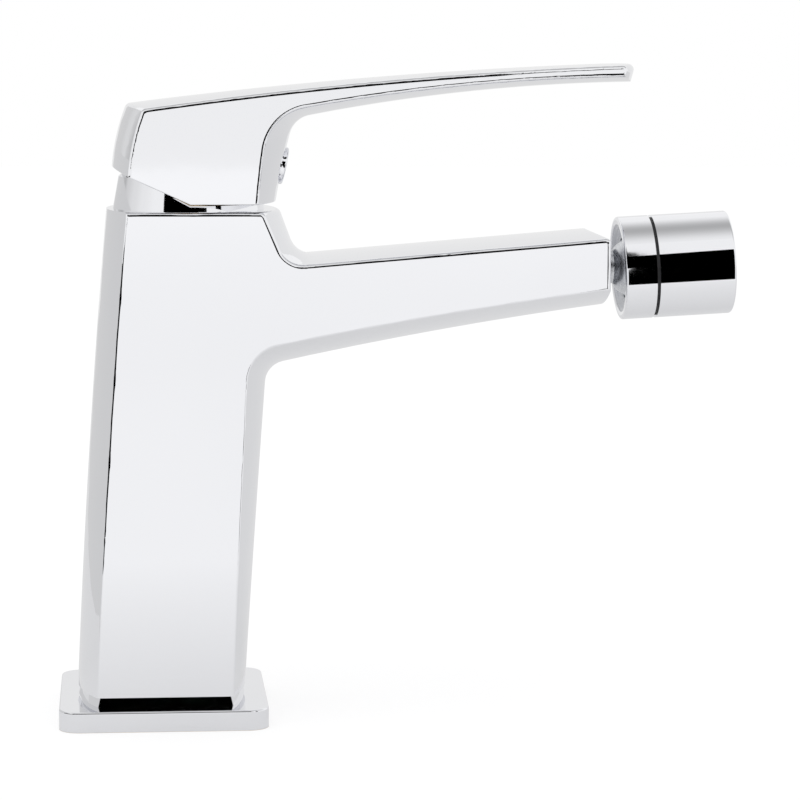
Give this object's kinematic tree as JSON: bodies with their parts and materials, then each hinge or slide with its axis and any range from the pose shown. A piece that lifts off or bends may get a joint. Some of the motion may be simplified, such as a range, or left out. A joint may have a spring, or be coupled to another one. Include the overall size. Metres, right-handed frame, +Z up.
{
  "type": "bidet mixer",
  "caption": "Deck-mounted single-lever bidet mixer with a square-section tapered body, straight spout and swivelling ball-jointed nozzle.",
  "frame": {"origin": "centre of the square base plate's underside, on the deck", "axes": "+X along the spout towards the nozzle, +Z up from the deck, +Y to the left of someone looking along the spout from the column, which is the far side in the picture"},
  "size_m": [0.1666, 0.0508, 0.1604],
  "materials": {
    "chrome_body": "polished chrome plate",
    "chrome_plate": "polished chrome plate",
    "chrome_lever": "polished chrome plate",
    "chrome_ring": "polished chrome plate",
    "chrome_nozzle": "polished chrome plate",
    "raw_brass": "turned brass",
    "steel": "bright turned steel",
    "rubber": "soft black rubber",
    "seal_polymer": "slippery white seal plastic",
    "cartridge_plastic": "moulded white engineering plastic",
    "yoke_plastic": "moulded dark engineering plastic",
    "ceramic": "lapped alumina ceramic",
    "aerator_plastic": "moulded white plastic",
    "regulator_plastic": "moulded grey green plastic",
    "hot_enamel": "red enamel",
    "cold_enamel": "blue enamel"
  },
  "bodies": {
    "body": {"body_casting": "chrome_body", "base_plate": "chrome_plate", "base_gasket": "rubber", "cartridge_port_seals": "rubber", "cartridge_base": "cartridge_plastic", "fixed_ceramic_disc": "ceramic", "cartridge_housing": "cartridge_plastic", "retaining_nut": "raw_brass", "cover_ring": "chrome_ring", "cover_ring_o_ring": "rubber", "ball_stud": "chrome_nozzle", "stud_washer": "rubber"},
    "yoke": {"rotating_yoke": "yoke_plastic", "spindle_pin": "steel"},
    "lever": {"lever_handle": "chrome_lever", "lever_spindle": "steel", "lever_screw": "steel", "index_plug": "chrome_lever", "hot_mark": "hot_enamel", "cold_mark": "cold_enamel"},
    "disc": {"moving_ceramic_disc": "ceramic", "disc_carrier": "yoke_plastic"},
    "seal": {"ball_seal": "seal_polymer"},
    "cup": {"seal_cup": "seal_polymer"},
    "nozzle": {"nozzle_rear_ring": "chrome_nozzle", "nozzle_groove_ring": "rubber", "nozzle_front_housing": "chrome_nozzle", "aerator_gasket": "rubber", "flow_regulator": "regulator_plastic", "aerator_basket": "aerator_plastic", "inner_screen": "steel", "mouth_screen": "steel", "screen_spacers": "aerator_plastic"}
  },
  "joints": [
    {"name": "lever_swing", "type": "hinge", "parent": "body", "child": "yoke", "pos_m": [0.0068, 0, 0.1257], "axis": [0, 0, 1], "range_deg": [-50, 50]},
    {"name": "lever_lift", "type": "hinge", "parent": "yoke", "child": "lever", "pos_m": [0.0068, 0, 0.1257], "axis": [0, -1, 0], "range_deg": [0, 24]},
    {"name": "disc_slide", "type": "slide", "parent": "yoke", "child": "disc", "axis": [1, 0, 0], "range_m": [0, 0.0055]},
    {"name": "nozzle_yaw", "type": "hinge", "parent": "body", "child": "seal", "pos_m": [0.1185, 0, 0.11018], "axis": [0, 0, 1], "range_deg": [-15, 15]},
    {"name": "nozzle_pitch", "type": "hinge", "parent": "seal", "child": "cup", "pos_m": [0.1185, 0, 0.11018], "axis": [0, -1, 0], "range_deg": [-18, 12]},
    {"name": "nozzle_spin", "type": "hinge", "parent": "cup", "child": "nozzle", "pos_m": [0.1185, 0, 0.11018], "axis": [0.9984, 0, 0.0565], "continuous": true}
  ],
  "couplings": [
    {"joint": "disc_slide", "follows": "lever_lift", "m_per_rad": 0.012382}
  ]
}
